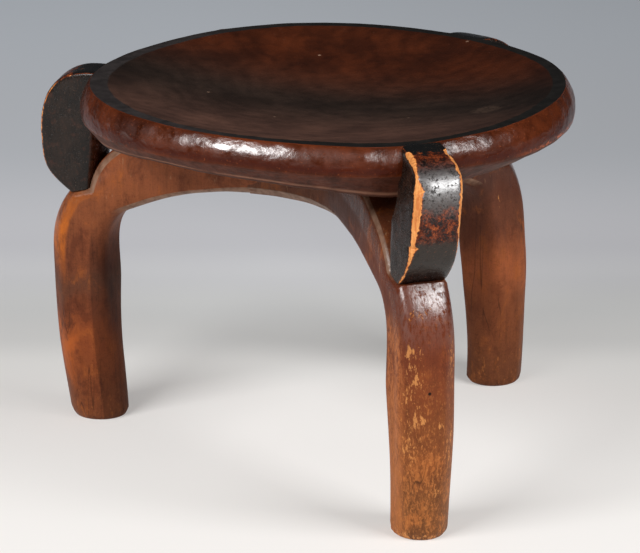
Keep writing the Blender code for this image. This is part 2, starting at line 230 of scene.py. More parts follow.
# Seat's finish: darkest and palest tone at the dish's back, middle and near side
# The middle and near-side tones are greyed and paled by a painted reflection
DISH_TONES = (((51, 21, 9), (77, 34, 15)), ((33, 24, 19), (47, 35, 29)), ((69, 47, 39), (90, 62, 51)))
DISH_TURN = math.radians(18.0)  # from the camera to the side of the dish that carries the painted reflection
# Pale marks in the dish: place from the seat's axis, radius, strength
SEAT_MARKS = (
    (0.1082, 0.0631, 0.0014, 0.9), (0.0215, 0.0846, 0.0012, 0.9), (-0.0633, 0.0328, 0.0012, 0.9),
    (0.0699, -0.0671, 0.0110, 0.10), (0.030, -0.050, 0.0010, 0.5), (-0.040, -0.020, 0.0009, 0.5),
)
# Ways from the seat's axis: to the rim's polished stretch, to its most polished part, to the side where a painted
# reflection pales the band, and to the middle of the ridge's rubbed stretch
WAXED_WAY = (-0.42, -0.91, 0.0)
MOST_WAXED_WAY = (-0.82, -0.57, 0.0)
PALE_BAND_WAY = (-0.95, 0.32, 0.0)
WORN_RIDGE_WAY = (0.83, -0.56, 0.0)
WAX_FILL = 0.55  # depth of the wood's relief that shows through the wax
PITH = tuple(AXIS + (0.0944, 0.0646, 0.0))  # the log's heart, where its year rings centre

# Tones of each leg's wood by height
LEG_TONES = by_side(
    front=((0.0, (115, 70, 37)), (0.02, (120, 72, 37)), (0.055, (124, 68, 33)), (0.085, (120, 60, 29)),
           (0.105, (106, 49, 25)), (0.14, (93, 42, 23)), (0.165, (89, 48, 30))),
    right=((0.0, (104, 58, 33)), (0.05, (120, 65, 36)), (0.08, (150, 81, 46)), (0.11, (98, 54, 35)),
           (0.14, (76, 43, 31))),
    left=((0.0, (119, 66, 38)), (0.02, (117, 62, 34)), (0.048, (132, 66, 32)), (0.073, (114, 59, 33)),
          (0.088, (98, 57, 38)), (0.105, (120, 64, 37)), (0.14, (132, 73, 42)), (0.165, (140, 78, 47))),
    hub=((0.0, (106, 64, 44)), (0.2, (106, 63, 43))),
)
WEAR = by_side((0.03, 0.15), (-0.08, 0.10), (-0.10, 0.10), hub=(-0.3, -0.1))  # heights where worn flecks thin out
SPECK_SHARES = by_side(0.45, 0.12, 0.2, hub=0.0)
PATCH_DEPTHS = by_side(0.1, 0.3, 0.5, hub=0.5)
WORMHOLE = (AXIS[0] - 0.0007, AXIS[1] - 0.172, 0.0896)

# Tones of each lug's charred outer face by the way down it
# On the front lug, the grey from 0.70 to 0.86 of the way down is partly charred wood and partly a painted reflection
LUG_TONES = by_side(
    front=((0.0, (12, 12, 11)), (0.24, (14, 13, 12)), (0.31, (40, 29, 25)), (0.50, (42, 29, 24)),
           (0.70, (48, 41, 36)), (0.86, (44, 39, 35)), (0.92, (15, 14, 13)), (1.0, (11, 11, 10))),
    right=((0.0, (14, 14, 13)), (0.2, (18, 17, 16)), (0.5, (52, 34, 26)), (1.0, (34, 26, 22))),
    left=((0.0, (14, 14, 13)), (0.2, (18, 17, 16)), (0.5, (60, 34, 24)), (1.0, (34, 26, 22))),
)
# Where wear has let red wood through the char, from black pits to bright wood
RED_WOOD = (
    (0.37, (9, 6, 5)), (0.46, (40, 15, 7)), (0.525, (80, 32, 13)), (0.59, (124, 56, 22)), (0.69, (196, 112, 50)),
)
LUG_WAX = by_side(1.0, 0.5, 0.3)
LUG_GLOSS = by_side(0.24, 0.26, 0.26)

# Floor: its colour, and the colour that is seen of it, by the distance behind a line in front of the stool; their
# fade to grey further back is painted shade
FLOOR_REACH = 6.0
FLOOR_HEIGHT = -0.0002
FLOOR_TONES = (
    (0.0, (238, 235, 232)), (0.2, (238, 235, 232)), (0.29, (239, 236, 233)), (0.34, (240, 237, 234)),
    (0.39, (242, 239, 236)), (0.444, (243, 241, 238)), (0.5, (228, 227, 225)), (0.56, (225, 225, 224)),
    (0.625, (219, 219, 221)), (0.7, (206, 206, 210)), (0.95, (198, 200, 205)), (1.4, (212, 217, 224)),
)
BACKDROP_TONES = (
    (0.0, (241, 238, 235)), (0.2, (240, 237, 233)), (0.29, (238, 235, 232)), (0.34, (240, 237, 234)),
    (0.39, (236, 233, 230)), (0.444, (235, 233, 230)), (0.5, (218, 217, 215)), (0.56, (214, 214, 213)),
    (0.625, (207, 207, 209)), (0.7, (195, 195, 199)), (0.95, (170, 174, 179)), (1.4, (160, 165, 171)),
)
FLOOR_LINE = 0.3  # how far in front of the origin that line is
FLOOR_SPAN = 1.6
FLOOR_DIMMING = 0.15  # painted shade on the floor at the right, behind the stool
BACKDROP_SHARE = 0.34
ROOM_TONES = ((60, 61, 64), (138, 138, 138))  # the room behind the stool and behind the camera

# The photograph's camera
VIEW_BEARING = math.radians(18.5)
CAMERA_DISTANCE = 1.8348
CAMERA_RISE = 0.4928
CAMERA_PITCH = 0.32187
CAMERA_YAW = 0.003187
SENSOR_WIDTH = 36.0
FOCAL_PIXELS = 3300.0
PICTURE_WIDTH = 640.0
LAMP_AIM = Vector((0.0, 0.0, 0.15))


def tone(red, green, blue):
    """Linear colour of a tone given in display steps."""
    steps = np.array((red, green, blue)) / 255.0
    linear = np.where(steps <= 0.04045, steps / 12.92, ((steps + 0.055) / 1.055) ** 2.4)
    return (*(float(part) for part in linear), 1.0)


def seat_underside():
    return SEAT_HEIGHT - DISH_DEPTH - SEAT_THICKNESS


def hub_underside():
    return seat_underside() - HUB_DEPTH


def camera_frame():
    """Ways to the right of the picture and from the stool towards the camera, both level."""
    right = Vector((math.cos(VIEW_BEARING), -math.sin(VIEW_BEARING), 0.0))
    towards = Vector((-math.sin(VIEW_BEARING), -math.cos(VIEW_BEARING), 0.0))
    return right, towards


def curve(start, start_lean, end, end_lean, steps, fullness=CURVE_PULL):
    """Points of a smooth curve from start to end that leaves and arrives along the leans."""
    start, end = np.array(start, float), np.array(end, float)
    pull = np.linalg.norm(end - start) * fullness
    first = start + np.array(start_lean) / np.linalg.norm(start_lean) * pull
    last = end - np.array(end_lean) / np.linalg.norm(end_lean) * pull
    share = np.linspace(0.0, 1.0, steps + 1)[:, None]
    rest = 1.0 - share
    return rest**3 * start + 3 * rest**2 * share * first + 3 * rest * share**2 * last + share**3 * end


def straight(start, end, steps):
    return np.linspace(start, end, steps + 1)


def joined(*stretches):
    """One row of points from stretches that each start where the one before ends."""
    return np.concatenate([stretches[0], *(stretch[1:] for stretch in stretches[1:])])


def lengths_along(points):
    return np.concatenate([[0.0], np.cumsum(np.linalg.norm(np.diff(points, axis=0), axis=1))])


def unit(value):
    return np.clip(value, 0.0, 1.0)


def eased(low, high, share):
    return low + (high - low) * share * share * (3.0 - 2.0 * share)


def ragged(share, waves, seed):
    """Uneven value of about -1 to 1 along a closed or open edge, made of summed waves."""
    dice = np.random.default_rng(seed)
    total = np.zeros_like(share)
    for count in range(1, waves + 1):
        total += dice.normal() * np.sin(math.tau * (count * share + dice.random())) / count**0.5
    return total / np.abs(total).max()


def up_the_leg(waypoints, heights):
    """Smooth value at each height, read off waypoints."""
    places, values = zip(*waypoints)
    nearby = np.linspace(-0.02, 0.02, 21)
    weights = np.exp(-0.5 * (nearby / 0.009) ** 2)
    return np.interp(heights[..., None] + nearby, places, values) @ weights / weights.sum()


def round_the_seat(waypoints, bearings):
    """Smooth value at each bearing, in degrees, read off waypoints round the seat."""
    places, values = zip(*waypoints)
    degrees = np.arange(-40.0, 400.0)
    steps = np.interp(degrees, places, values, period=360.0)
    weights = np.exp(-0.5 * (np.arange(-15.0, 16.0) / 5.0) ** 2)
    smooth = np.convolve(steps, weights / weights.sum(), "same")
    return np.interp(bearings % 360.0, degrees[20:-20], smooth[20:-20])


def chamfer_share(bearings):
    """Size of the rim's chamfer against its middle size; it flares towards each lug."""
    aside = np.stack([(bearings - bearing + 180.0) % 360.0 - 180.0 for bearing in BEARINGS.values()])
    nearest = np.take_along_axis(aside, np.abs(aside).argmin(0)[None], 0)[0]
    places, shares = zip(*CHAMFER_SHARES)
    return np.interp(nearest, places, shares)


def to_bearing(points, side):
    """Points given as (out, aside, up) in a leg's own plane, carried to where that leg stands."""
    turn = math.radians(BEARINGS[side])
    out = np.array((math.cos(turn), math.sin(turn), 0.0))
    aside = np.array((-math.sin(turn), math.cos(turn), 0.0))
    up = np.array((0.0, 0.0, 1.0))
    return AXIS + points[..., :1] * out + points[..., 1:2] * aside + points[..., 2:] * up


class Value:
    """A node's output; arithmetic on it adds nodes to its tree."""

    def __init__(self, nodes, socket):
        self.nodes, self.socket = nodes, socket

    def __add__(self, other):
        return self.math("ADD", other)

    def __sub__(self, other):
        return self.math("SUBTRACT", other)

    def __rsub__(self, other):
        return self.nodes.math("SUBTRACT", other, self)

    def __mul__(self, other):
        return self.math("MULTIPLY", other)

    def __truediv__(self, other):
        return self.math("DIVIDE", other)

    def __rtruediv__(self, other):
        return self.nodes.math("DIVIDE", other, self)

    def math(self, operation, other=0.0):
        return self.nodes.math(operation, self, other)

    def vector(self, operation, other=(0.0, 0.0, 0.0)):
        """Vector arithmetic; other is a vector, or for SCALE a number."""
        inputs = {0: self, "Scale" if operation == "SCALE" else 1: other}
        result = "Value" if operation in ("LENGTH", "DOT_PRODUCT") else "Vector"
        return self.nodes.out("ShaderNodeVectorMath", result, inputs, operation=operation)

    def ramp(self, low, high):
        """Share that eases from 0 at low to 1 at high; low may be the larger."""
        inputs = {"Value": self, "From Min": low, "From Max": high}
        return self.nodes.out("ShaderNodeMapRange", "Result", inputs, interpolation_type="SMOOTHSTEP")

    def hump(self, low, middle, high):
        """Share that is 1 at the middle and 0 at low and high."""
        return self.ramp(low, middle) * self.ramp(high, middle)

    def tones(self, stops, span):
        """Colour that changes with this value, read off (value, tone) stops within 0 to span."""
        node = self.nodes.add("ShaderNodeValToRGB", {0: self / span})
        ramp = node.color_ramp
        ramp.interpolation = "EASE"
        while len(ramp.elements) < len(stops):
            ramp.elements.new(0.5)
        for element, (place, steps) in zip(ramp.elements, stops):
            element.position = place / span
            element.color = tone(*steps)
        return Value(self.nodes, node.outputs["Color"])

    def blend(self, share, colour):
        """This colour, turned into another where the share is 1."""
        return self.nodes.mix(share, self, colour)

    def shade(self, share, depth):
        """This colour, darkened by a depth where the share is 1."""
        return self.vector("SCALE", 1.0 - share * depth)


class Nodes:
    """Short calls that add nodes to a tree; an input may be a number, a vector or a Value."""

    def __init__(self, tree):
        self.tree = tree

    def add(self, kind, inputs=(), **settings):
        node = self.tree.nodes.new(kind)
        for name, value in settings.items():
            setattr(node, name, value)
        for key, value in dict(inputs).items():
            self.feed(node.inputs[key], value)
        return node

    def out(self, kind, output, inputs=(), **settings):
        """One output of a new node."""
        return Value(self, self.add(kind, inputs, **settings).outputs[output])

    def feed(self, socket, value):
        if isinstance(value, Value):
            self.tree.links.new(value.socket, socket)
        else:
            socket.default_value = value

    def math(self, operation, first, second):
        return self.out("ShaderNodeMath", 0, {0: first, 1: second}, operation=operation)

    def mix(self, share, first, second):
        """Mixed colour; each of the two is a Value or a tone."""
        first, second = (tone(*part) if isinstance(part, tuple) else part for part in (first, second))
        return self.out("ShaderNodeMix", 2, {0: share, 6: first, 7: second}, data_type="RGBA")


class GeometryTree(Nodes):
    """Geometry Nodes tree with named inputs and one geometry output."""

    def __init__(self, name):
        super().__init__(bpy.data.node_groups.new(name, "GeometryNodeTree"))
        self.tree.interface.new_socket("Geometry", in_out="OUTPUT", socket_type="NodeSocketGeometry")
        self.group_input = self.tree.nodes.new("NodeGroupInput")
        self.group_output = self.tree.nodes.new("NodeGroupOutput")

    def named_inputs(self, *inputs):
        for name, kind in inputs:
            self.tree.interface.new_socket(name, in_out="INPUT", socket_type="NodeSocket" + kind)
        return [Value(self, self.group_input.outputs[name]) for name, kind in inputs]

    def value_at(self, name):
        """The number that the mesh carries under a name at each point."""
        return self.out("GeometryNodeInputNamedAttribute", "Attribute", {"Name": name}, data_type="FLOAT")

    def store(self, geometry, name, value):
        inputs = {"Geometry": geometry, "Name": name, "Value": value}
        return self.out("GeometryNodeStoreNamedAttribute", "Geometry", inputs, data_type="FLOAT", domain="POINT")

    def finish(self, geometry, material):
        realized = self.out("GeometryNodeRealizeInstances", "Geometry", {"Geometry": geometry})
        inputs = {"Geometry": realized, "Material": material}
        self.feed(self.group_output.inputs["Geometry"], self.out("GeometryNodeSetMaterial", "Geometry", inputs))
        return self.tree


def knife_cut_tree():
    """Tree that carves a skin with the carver's knife: flat cuts that meet in low ridges, and a hand's wobble."""
    tree = GeometryTree("knife_cuts")
    skin, cut_size, cut_depth, wobble_size, wobble_depth, seed, material = tree.named_inputs(
        ("Geometry", "Geometry"), ("Cut Size", "Vector"), ("Cut Depth", "Float"), ("Wobble Size", "Float"),
        ("Wobble Depth", "Float"), ("Seed", "Float"), ("Material", "Material"),
    )
    place = tree.out("GeometryNodeInputPosition", "Position")
    normal = tree.out("GeometryNodeInputNormal", "Normal")
    cells = {"Vector": place.vector("DIVIDE", cut_size), "W": seed, "Scale": 1.0, "Randomness": 0.9}
    cuts = tree.out("ShaderNodeTexVoronoi", "Distance", cells, voronoi_dimensions="4D", feature="F1")
    carved = normal.vector("SCALE", (cuts * cuts - 0.3) * cut_depth * tree.value_at("cut_share"))
    waves = {"Vector": place.vector("SCALE", 1.0 / wobble_size), "Scale": 1.0, "Detail": 1.0}
    slow = tree.out("ShaderNodeTexNoise", "Color", waves).vector("SUBTRACT", (0.5, 0.5, 0.5))
    offset = carved.vector("ADD", slow.vector("SCALE", wobble_depth))
    moved = tree.out("GeometryNodeSetPosition", "Geometry", {"Geometry": skin, "Offset": offset})
    return tree.finish(moved, material)


def turned_tree():
    """Tree that turns a profile, given as a row of points in the XZ plane, about the upright axis."""
    tree = GeometryTree("turned_piece")
    profile, steps_around, centre, material = tree.named_inputs(
        ("Geometry", "Geometry"), ("Steps Around", "Int"), ("Centre", "Vector"), ("Material", "Material"),
    )
    rows = tree.out("GeometryNodeAttributeDomainSize", "Point Count", {"Geometry": profile}, component="MESH")
    grid = tree.out("GeometryNodeMeshGrid", "Mesh", {"Vertices X": steps_around + 1.0, "Vertices Y": rows})
    index = tree.out("GeometryNodeInputIndex", "Index")
    column = (index / rows).math("FLOOR")
    row = index - column * rows

    def from_profile(value, kind):
        inputs = {"Geometry": profile, "Index": row, "Value": value}
        return tree.out("GeometryNodeSampleIndex", "Value", inputs, data_type=kind, domain="POINT")

    point = from_profile(tree.out("GeometryNodeInputPosition", "Position"), "FLOAT_VECTOR")
    inputs = {"Vector": point, "Angle": column / steps_around * math.tau}
    turned = tree.out("ShaderNodeVectorRotate", "Vector", inputs, rotation_type="Z_AXIS")
    inputs = {"Geometry": grid, "Position": turned.vector("ADD", centre)}
    skin = tree.out("GeometryNodeSetPosition", "Geometry", inputs)
    for name in ("along", "cut_share"):
        skin = tree.store(skin, name, from_profile(tree.value_at(name), "FLOAT"))
    closed = tree.out("GeometryNodeMergeByDistance", "Geometry", {"Geometry": skin, "Distance": 1e-6})
    return tree.finish(closed, material)


def add_piece(mesh):
    piece = bpy.data.objects.new(mesh.name, mesh)
    bpy.context.scene.collection.objects.link(piece)
    return piece


def run_tree(piece, tree, **values):
    """Run a tree on a piece and keep the result as the piece's plain mesh."""
    modifier = piece.modifiers.new(tree.name, "NODES")
    modifier.node_group = tree
    for item in tree.interface.items_tree:
        name = item.name.lower().replace(" ", "_")
        if item.in_out == "INPUT" and name in values:
            modifier[item.identifier] = values[name]
    bpy.context.view_layer.update()
    made = bpy.data.meshes.new_from_object(piece.evaluated_get(bpy.context.evaluated_depsgraph_get()))
    made.name = piece.name
    piece.modifiers.remove(modifier)
    piece.data = made


def face_outwards(piece):
    builder = bmesh.new()
    builder.from_mesh(piece.data)
    bmesh.ops.recalc_face_normals(builder, faces=builder.faces[:])
    builder.to_mesh(piece.data)
    builder.free()
    piece.data.shade_smooth()
    piece.data.set_sharp_from_angle(angle=SHARP_ANGLE)


def carry_marks(mesh, marks):
    """Store named numbers, one for each point of the mesh."""
    for name, values in marks.items():
        mark = mesh.attributes.new(name, "FLOAT", "POINT")
        mark.data.foreach_set("value", np.ascontiguousarray(values, np.float32).ravel())


def loft(name, rings, marks):
    """Closed skin over a row of rings of points; a mark has a value for each point, ring or step round a ring."""
    stations, steps, _ = rings.shape
    index = np.arange(stations * steps).reshape(stations, steps)
    following = np.roll(index, -1, axis=1)
    quads = np.stack([index[:-1], following[:-1], following[1:], index[1:]], axis=-1).reshape(-1, 4)
    faces = quads.tolist() + [index[0].tolist(), index[-1].tolist()]
    mesh = bpy.data.meshes.new(name)
    mesh.from_pydata(rings.reshape(-1, 3).tolist(), [], faces)
    carry_marks(mesh, {name: np.broadcast_to(values, index.shape) for name, values in marks.items()})
    piece = add_piece(mesh)
    face_outwards(piece)
    return piece


def section(angles, depth, width, cuts):
    """Radius of a four-sided section with its corners cut off, and how far each point is on a cut.

    Depth and width are half sizes per station; cuts gives the width of the cut at the corners
    outer and far, inner and far, inner and near, outer and near.
    """
    out, across = np.cos(angles)[None, :], np.sin(angles)[None, :]
    flats = np.stack([np.abs(out) / depth, np.abs(across) / width])
    corners = np.stack([
        np.maximum(way_out * out + way_across * across, 0.0) / (depth + width - cut)
        for (way_out, way_across), cut in zip(((1, 1), (-1, 1), (-1, -1), (1, -1)), cuts)
    ])
    radius = ((flats**EDGE_CRISPNESS).sum(0) + (corners**EDGE_CRISPNESS).sum(0)) ** (-1.0 / EDGE_CRISPNESS)
    return radius, corners.max(0) / flats.max(0) - 1.0


def rings_between(inner, outer, aside, radius, angles):
    """Rings of (out, aside, up) points round the middles between an inner and an outer outline."""
    middle = (inner + outer) / 2.0
    way = (outer - inner) / np.linalg.norm(outer - inner, axis=1, keepdims=True)
    reach = radius * np.cos(angles)
    across = aside + radius * np.sin(angles)
    return np.stack([middle[:, :1] + way[:, :1] * reach, across, middle[:, 1:] + way[:, 1:] * reach], axis=-1)


def seat_profile():
    """Rows of the seat's profile from the dish's middle over the band, down the rim and back to the axis."""
    over_dish, over_band, over_bulge, over_chamfer, over_underside = SEAT_STEPS
    share, inwards = straight(0.0, 1.0, over_dish), straight(1.0, 0.0, over_underside)
    band_edge = (BAND_RADIUS, SEAT_HEIGHT)
    ridge = (BAND_RADIUS + RIDGE_STANDOUT, SEAT_HEIGHT - RIDGE_DROP)
    edge = (BAND_RADIUS - LOWER_EDGE_INSET, SEAT_HEIGHT - RIM_DEPTH)
    dish = np.stack([(BAND_RADIUS - BAND_WIDTH) * share, SEAT_HEIGHT - DISH_DEPTH * (1.0 - share**2)], axis=1)
    under = np.stack([edge[0] * inwards, seat_underside() + (edge[1] - seat_underside()) * inwards**2], axis=1)
    bulge = curve(band_edge, BULGE_LEANS[0], ridge, BULGE_LEANS[1], over_bulge)
    band, chamfer = straight(dish[-1], band_edge, over_band), straight(ridge, edge, over_chamfer)
    stretches = [dish, band[1:], bulge[1:], chamfer[1:], under[1:]]
    points = np.concatenate(stretches)
    depths = [np.linspace(*ends, len(stretch)) for ends, stretch in zip(SEAT_CUT_SHARES, stretches)]
    _, band_row, ridge_row, edge_row, _ = np.cumsum([len(stretch) for stretch in stretches]) - 1
    lengths = lengths_along(points)
    along = lengths - lengths[band_row]
    return points, along, np.concatenate(depths), along[[0, ridge_row, edge_row, -1]]


def make_uneven(seat, ends):
    """Bend the turned seat's band, ridge and lower edge off true, as the carver's hand left them."""
    mesh = seat.data
    count = len(mesh.vertices)
    points, along = np.empty(count * 3), np.empty(count)
    mesh.vertices.foreach_get("co", points)
    mesh.attributes["along"].data.foreach_get("value", along)
    points = points.reshape(-1, 3)
    flat = (points - AXIS)[:, :2]
    radius = np.linalg.norm(flat, axis=1)
    bearings = np.degrees(np.arctan2(flat[:, 1], flat[:, 0]))
    middle, ridge_at, edge_at, last = ends
    band, ridge, edge_rise, spread = (
        round_the_seat(waypoints, bearings) for waypoints in (BAND_RISES, RIDGE_RISES, EDGE_RISES, RIM_SPREADS)
    )
    edge = ridge + edge_rise
    extra = chamfer_share(bearings) - 1.0
    still = np.zeros(count)
    places = np.array([middle, -UNEVEN_REACH, 0.0, ridge_at, edge_at, edge_at + UNEVEN_REACH, last])
    rises = np.stack([still, still, band, ridge, edge - CHAMFER_DROP * extra, still, still])
    spreads = np.stack([still, still, spread, spread, spread - CHAMFER_INSET * extra, still, still])
    below = np.clip(np.searchsorted(places, along, "right") - 1, 0, len(places) - 2)
    share = unit((along - places[below]) / (places[below + 1] - places[below]))
    picked = np.arange(count)
    points[:, 2] += eased(rises[below, picked], rises[below + 1, picked], share)
    stretch = 1.0 + eased(spreads[below, picked], spreads[below + 1, picked], share) / np.maximum(radius, 0.01)
    points[:, :2] = AXIS[:2] + flat * stretch[:, None]
    mesh.vertices.foreach_set("co", points.ravel())
    carry_marks(mesh, {"band_width": round_the_seat(BAND_WIDTHS, bearings)})
    mesh.update()


def build_seat(turned, knife_cuts, finish):
    points, along, depths, ends = seat_profile()
    mesh = bpy.data.meshes.new("carved_seat")
    links = [(row, row + 1) for row in range(len(points) - 1)]
    mesh.from_pydata([(radius, 0.0, height) for radius, height in points.tolist()], links, [])
    carry_marks(mesh, {"along": along, "cut_share": depths})
    seat = add_piece(mesh)
    run_tree(seat, turned, steps_around=SEAT_STEPS_AROUND, centre=tuple(AXIS), material=finish)
    make_uneven(seat, ends)
    face_outwards(seat)
    run_tree(seat, knife_cuts, material=finish, **SEAT_CUTS)
    return seat


def ledge_ends(side):
    inner = np.array((BAND_RADIUS + LEDGE_SPREADS[side], SEAT_HEIGHT - LEDGE_DROPS[side]))
    return inner, inner + np.array((LEDGE_LENGTHS[side], -LEDGE_FALL))


def leg_outlines(side):
    """Inner and outer outline of a leg in its own plane, sole to hub, with matching points."""
    foot = BAND_RADIUS + FOOT_SPREAD
    knee_outer = (BAND_RADIUS + KNEE_SPREADS[side], KNEE_HEIGHT)
    knee_inner = (knee_outer[0] - KNEE_DEPTHS[side], KNEE_HEIGHT)
    spring = (knee_inner[0] - SPRING_INSET, hub_underside() - ARCH_RISE)
    hub_face = HUB_RADIUS - ARM_OVERLAP
    hub_low = (hub_face, hub_underside())
    hub_high = (hub_face, seat_underside() + SEAT_THICKNESS / 2.0)
    ledge_inner, ledge_outer = ledge_ends(side)
    crest = (BAND_RADIUS - CREST_INSETS[side], SEAT_HEIGHT - CREST_DROPS[side])
    upright = (0.0, 1.0)

    post, shoulder, ledge, back, buried = LEG_STEPS
    inner = joined(
        curve((foot - FOOT_DEPTH / 2.0, 0.0), FOOT_LEANS[0], knee_inner, upright, post),
        curve(knee_inner, upright, spring, SPRING_LEAN, shoulder + ledge),
        curve(spring, SPRING_LEAN, hub_low, (-1.0, 0.0), back + buried),
    )
    outer = joined(
        curve((foot + FOOT_DEPTH / 2.0, 0.0), FOOT_LEANS[1], knee_outer, upright, post),
        curve(knee_outer, upright, ledge_outer, SHOULDER_LEAN, shoulder),
        straight(ledge_outer, ledge_inner, ledge),
        curve(ledge_inner, BACK_LEANS[side], crest, CREST_LEAN, back),
        straight(crest, hub_high, buried),
    )
    return inner, outer, (post, shoulder + ledge, back + buried)


def leg_shape(side, stretches):
    """Half width, inner and outer chamfer of a leg's section, for each station from the sole to the hub."""
    foot_width = FOOT_WIDTHS[side]
    round_chamfer = (2.0 - math.sqrt(2.0)) * foot_width / 2.0
    marks = [
        (foot_width / 2.0, round_chamfer, round_chamfer),
        (KNEE_WIDTH / 2.0, KNEE_INNER_CHAMFER, KNEE_OUTER_CHAMFERS[side]),
        (LEDGE_WIDTH / 2.0, ARM_CHAMFER, LEDGE_CHAMFERS[side]),
        (ARM_WIDTH / 2.0, ARM_CHAMFER, LEDGE_CHAMFERS["front"]),
    ]
    rows = [marks[0]]
    for below, above, steps in zip(marks, marks[1:], stretches):
        for step in range(1, steps + 1):
            rows.append([eased(low, high, step / steps) for low, high in zip(below, above)])
    return np.array(rows).T[:, :, None]


def bare_share(points, spots):
    """Share of 0 to 1 that says how near each point is to the middle of a worn spot."""
    share = np.zeros(points.shape[:-1])
    for offset, width, height, strength in spots:
        away = (points - AXIS - offset) / (width, width, height)
        share = np.maximum(share, strength * (1.0 - np.linalg.norm(away, axis=-1) ** 2))
    return share


def build_leg(side, knife_cuts, finish):
    inner, outer, stretches = leg_outlines(side)
    half_width, inner_chamfer, outer_chamfer = leg_shape(side, stretches)
    angles = np.linspace(0.0, math.tau, LEG_STEPS_AROUND, endpoint=False)
    depth = np.linalg.norm(outer - inner, axis=1)[:, None] / 2.0
    cuts = (outer_chamfer, inner_chamfer, inner_chamfer, outer_chamfer)
    radius, on_cut = section(angles, depth, half_width, cuts)

    height = (inner[:, 1:] + outer[:, 1:]) / 2.0
    oval = 1.0 / np.hypot(np.cos(angles) / depth, np.sin(angles) / half_width)
    radius = eased(oval, radius, unit(height / KNEE_HEIGHT) * KNEE_SQUARENESS)
    chip = 0.5 + 0.5 * ragged(angles / math.tau, SOLE_CHIP_WAVES, len(side))[None, :]
    radius = radius - SOLE_WEAR * unit(1.0 - height / (SOLE_WEAR_HEIGHT + SOLE_CHIP_HEIGHT * chip)) ** 1.5
    stations = np.arange(len(inner))[:, None]
    aside = up_the_leg(ASIDES[side], height)
    rings = to_bearing(rings_between(inner, outer, aside, radius, angles), side)
    marks = {
        "facing": np.cos(angles),
        "flank": np.sin(angles),
        "on_cut": on_cut,
        "run": stations / stations.max(),
        "cut_share": unit(height / UNCUT_HEIGHT),
        "bare": bare_share(rings, BARE_SPOTS[side]),
    }
    leg = loft("carved_leg_" + side, rings, marks)
    run_tree(leg, knife_cuts, material=finish, **LEG_CUTS)
    return leg


def lug_outlines(side):
    """Inner and outer outline of a lug in its leg's plane, from the band to the ledge, with matching points."""
    ledge_inner, ledge_outer = ledge_ends(side)
    toe = ledge_outer + (ledge_inner - ledge_outer) * TOE_INSET + np.array((0.0, -OVERLAP))
    heel = ledge_inner + np.array((0.0, -OVERLAP))
    top_height = SEAT_HEIGHT + float(round_the_seat(BAND_RISES, np.array(BEARINGS[side]))) + LUG_TOP_LIFT
    spread = float(round_the_seat(RIM_SPREADS, np.array(BEARINGS[side] + LUG_TOP_ASIDE)))
    start = (BAND_RADIUS + spread - LUG_FLAT_LENGTH, top_height)
    top = (BAND_RADIUS + spread, top_height)
    widest = (BAND_RADIUS + LUG_REACHES[side], SEAT_HEIGHT - LUG_WIDEST_DROPS[side])
    inside = (BAND_RADIUS - BAND_WIDTH, SEAT_HEIGHT - RIM_DEPTH + LOWER_EDGE_INSET)
    turn = (BAND_RADIUS + LUG_STANDOFFS[side], SEAT_HEIGHT - LUG_TURN_DROP)
    down = (0.0, -1.0)
    flat, upper, lower = LUG_STEPS
    outer = joined(
        straight(start, top, flat),
        curve(top, (1.0, LUG_TOP_SLOPES[side]), widest, down, upper, UPPER_FULLNESS[side]),
        curve(widest, down, toe, TOE_LEAN, lower, LOWER_FULLNESS[side]),
    )
    inner = joined(curve(inside, (1.0, 0.0), turn, down, flat + upper), straight(turn, heel, lower))
    return inner, outer


def chip_widths(waypoints, share, seed):
    """Width of an edge's chips along it: read off the waypoints, then made ragged."""
    places, widths = zip(*waypoints)
    width = np.interp(share, places, widths)
    return (width * (1.0 + CHIP_RAGGEDNESS * ragged(share, CHIP_WAVES, seed)))[:, None]


def build_lug(side, knife_cuts, finish):
    inner, outer = lug_outlines(side)
    run = lengths_along(outer)
    run /= run[-1]
    angles = np.linspace(0.0, math.tau, LUG_STEPS_AROUND, endpoint=False)
    depth = np.linalg.norm(outer - inner, axis=1)[:, None] / 2.0
    narrow = eased(LUG_TOP_SHARES[side], 1.0, unit(run / LUG_WIDENING))[:, None]
    half_width = narrow * LUG_THICKNESSES[side] / 2.0
    inner_cut = np.full_like(depth, LUG_INNER_CHAMFER)
    far = chip_widths(FAR_CHIPS[side], run, FAR_SEED)
    near = chip_widths(NEAR_CHIPS[side], run, NEAR_SEED)
    radius, on_cut = section(angles, depth, half_width, (far, inner_cut, inner_cut, near))
    rises, top, toe = outer[:, 1:], outer[0, 1], outer[-1, 1]
    lean = LUG_LEANS[side] * unit((rises - toe) / (top - toe)) ** LUG_BENDS[side]
    facing, flank = np.cos(angles) * radius / depth, np.sin(angles) * radius / half_width
    rings = rings_between(inner, outer, lean, radius, angles)
    to_far_edge = unit(0.5 - flank / 2.0)
    rings[..., 0] -= GAP_TAPERS[side] * unit(-facing) * to_far_edge
    widest = SEAT_HEIGHT - LUG_WIDEST_DROPS[side]
    far_top = to_far_edge * unit((rises - widest) / (top - widest))
    rings[..., 0] += FAR_EDGE_LIFTS[side] * unit(facing) * far_top
    marks = {
        "facing": facing,
        "on_cut": np.where(np.cos(angles)[None, :] > 0.0, on_cut, -1.0),
        "run": run[:, None],
        "cut_share": 1.0,
    }
    lug = loft("carved_lug_" + side, to_bearing(rings, side), marks)
    run_tree(lug, knife_cuts, material=finish, **LUG_CUTS)
    return lug


def hub_plan(arm_width):
    """Outline of the hub from above: flat faces for the arms, joined by concave flanks."""
    bearings = sorted(math.radians(bearing) for bearing in BEARINGS.values())
    ways = [np.array((math.cos(bearing), math.sin(bearing))) for bearing in bearings]
    outline = []
    for out, next_out in zip(ways, ways[1:] + ways[:1]):
        side, next_side = np.array((-out[1], out[0])), np.array((-next_out[1], next_out[0]))
        start = out * HUB_RADIUS + side * arm_width / 2.0
        end = next_out * HUB_RADIUS - next_side * arm_width / 2.0
        outline.append((out * HUB_RADIUS - side * arm_width / 2.0)[None])
        outline.append(curve(start, -out, end, next_out, HUB_FLANK_STEPS)[:-1])
    return np.concatenate(outline)


